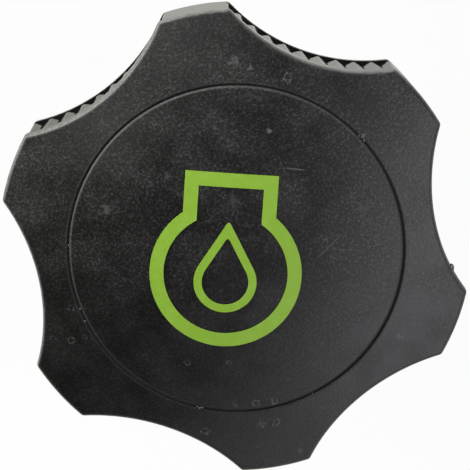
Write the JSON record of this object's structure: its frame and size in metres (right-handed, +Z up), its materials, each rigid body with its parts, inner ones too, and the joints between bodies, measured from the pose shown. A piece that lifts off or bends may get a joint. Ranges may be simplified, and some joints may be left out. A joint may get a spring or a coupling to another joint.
{
  "type": "oil filler cap",
  "caption": "Star-shaped screw-in oil filler cap with serrated scallops, a domed top disc printed with an oil-drop pictogram, a hollow threaded plug and a rubber seal.",
  "frame": {"origin": "centre of the plug's open lower end, where the cap stands on a table", "axes": "+Z up along the screw axis towards the crown, +Y through a lobe of the grip, +X through a scallop"},
  "size_m": [0.0708, 0.0762, 0.0437],
  "materials": {
    "grip_plastic": "moulded black plastic, matt and dusty",
    "disc_plastic": "moulded black plastic, matt and dusty",
    "green_print": "pad-printed green ink, satin",
    "plug_plastic": "moulded black plastic, satin",
    "seal_rubber": "black nitrile rubber, matt"
  },
  "bodies": {
    "root": {"grip_shell": "grip_plastic", "centre_disc": "disc_plastic", "engine_outline_print": "green_print", "oil_drop_print": "green_print", "plug_body": "plug_plastic", "sealing_ring": "seal_rubber"}
  },
  "joints": []
}
